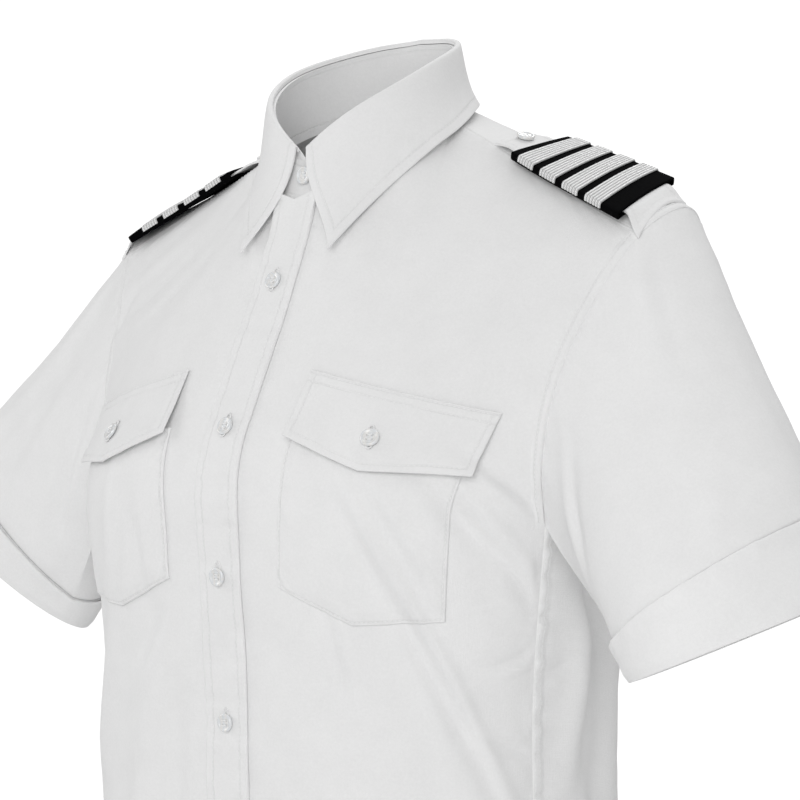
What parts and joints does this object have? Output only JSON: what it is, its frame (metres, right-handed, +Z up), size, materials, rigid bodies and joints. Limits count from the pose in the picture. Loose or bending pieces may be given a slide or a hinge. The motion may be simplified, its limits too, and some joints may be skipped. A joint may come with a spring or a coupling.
{
  "type": "short-sleeved pilot shirt",
  "caption": "Short-sleeved button-front uniform shirt, filled out as if worn, with pointed collar, flapped breast pockets, buttoned shoulder straps and striped slip-on shoulder boards",
  "frame": {"origin": "the middle of the neck, at the height of the shoulder seams' neck ends, where the shirt is held up by its wearer", "axes": "+Z up, +X towards the wearer's left, the buttoned front faces -Y"},
  "size_m": [0.7563, 0.2578, 0.8012],
  "materials": {
    "white_poplin": "matt white cotton-blend poplin, pressed",
    "pearl_button": "pearly white four-hole shirt button",
    "black_cloth": "matt black woven cloth",
    "silver_braid": "ribbed silver-grey braid with a slight sheen"
  },
  "bodies": {
    "root": {"front_left": "white_poplin", "front_right": "white_poplin", "back": "white_poplin", "yoke": "white_poplin", "front_band": "white_poplin", "collar_stand": "white_poplin", "collar_leaf": "white_poplin", "stand_button": "pearl_button", "band_button_1": "pearl_button", "band_button_2": "pearl_button", "band_button_3": "pearl_button", "band_button_4": "pearl_button", "band_button_5": "pearl_button", "band_button_6": "pearl_button", "band_button_7": "pearl_button", "sleeve_left": "white_poplin", "cuff_left": "white_poplin", "pocket_left": "white_poplin", "flap_left": "white_poplin", "flap_button_left": "pearl_button", "strap_left": "white_poplin", "strap_button_left": "pearl_button", "board_left": "black_cloth", "stripe_left_1": "silver_braid", "stripe_left_2": "silver_braid", "stripe_left_3": "silver_braid", "stripe_left_4": "silver_braid", "sleeve_right": "white_poplin", "cuff_right": "white_poplin", "pocket_right": "white_poplin", "flap_right": "white_poplin", "flap_button_right": "pearl_button", "strap_right": "white_poplin", "strap_button_right": "pearl_button", "board_right": "black_cloth", "stripe_right_1": "silver_braid", "stripe_right_2": "silver_braid", "stripe_right_3": "silver_braid", "stripe_right_4": "silver_braid"}
  },
  "joints": []
}
